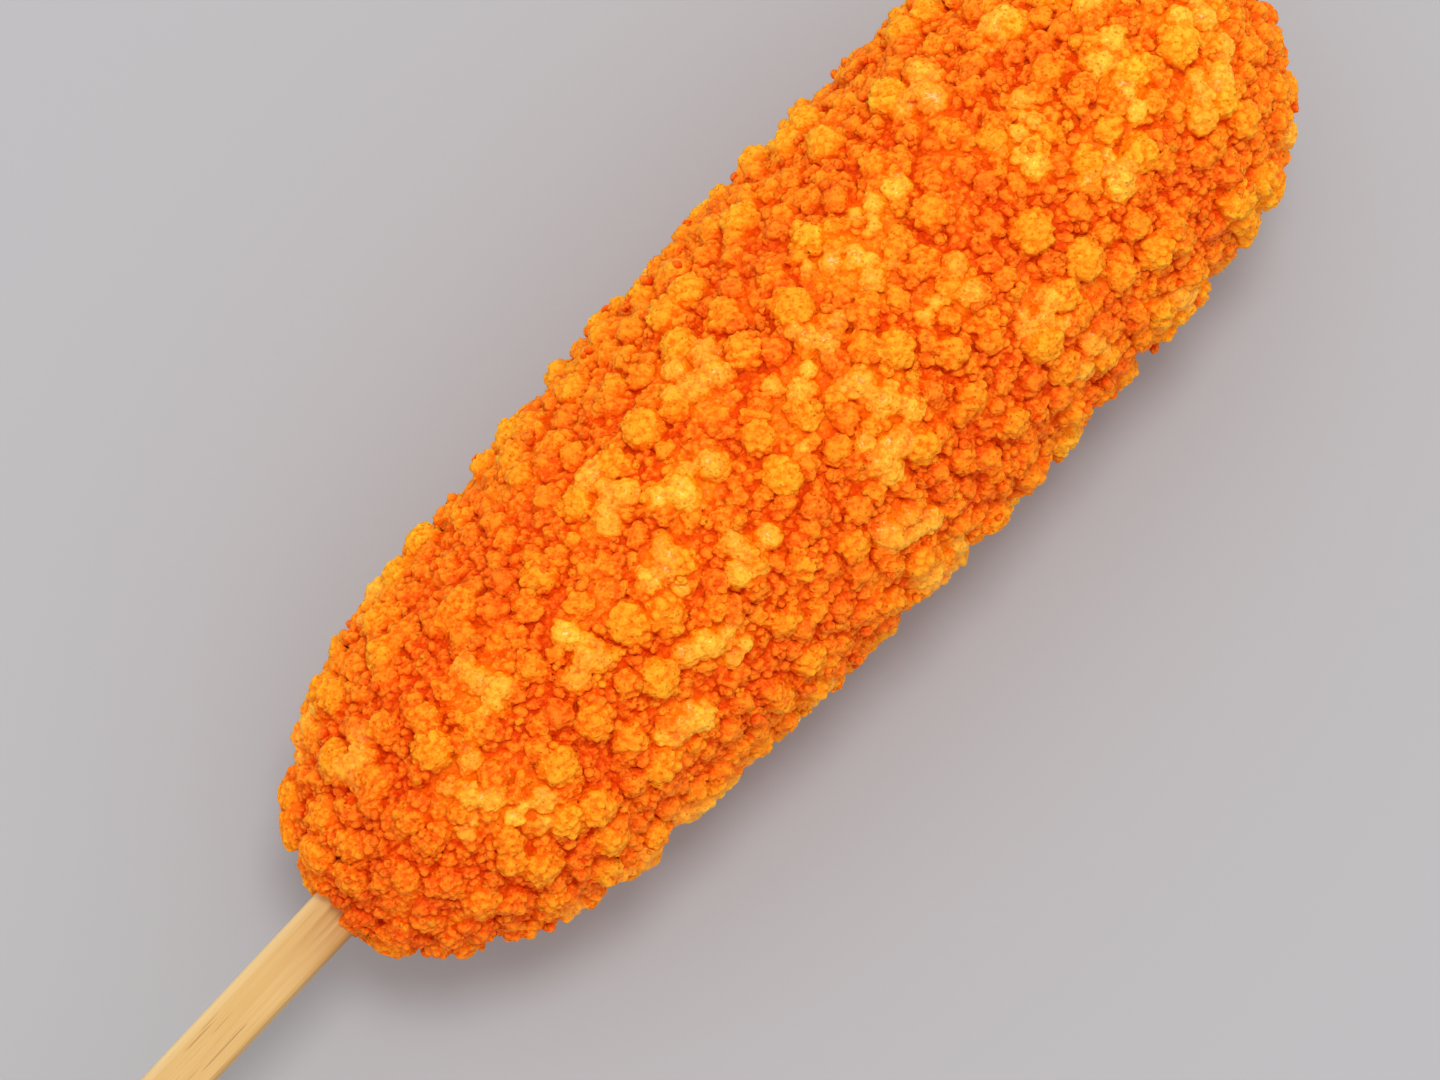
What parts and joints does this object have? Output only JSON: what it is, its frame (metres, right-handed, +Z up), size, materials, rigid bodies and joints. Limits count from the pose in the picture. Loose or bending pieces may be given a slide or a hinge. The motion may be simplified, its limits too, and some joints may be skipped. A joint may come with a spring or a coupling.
{
  "type": "corn dog",
  "caption": "Thick crumb-coated corn dog on a flat bamboo stick, lying on its side.",
  "frame": {"origin": "middle of the whole part's box, on the surface that it lies on", "axes": "+X runs from the stick's free end to the loaf's round head, +Z up from the surface, +Y across the loaf"},
  "size_m": [0.209, 0.0466, 0.0444],
  "materials": {
    "crumb_coating": "fried orange crumbs with a little oil on them, and yellow melted cheese on some",
    "bamboo": "bare planed bamboo, satin"
  },
  "bodies": {
    "root": {"crumbed_loaf": "crumb_coating", "bamboo_stick": "bamboo"}
  },
  "joints": []
}
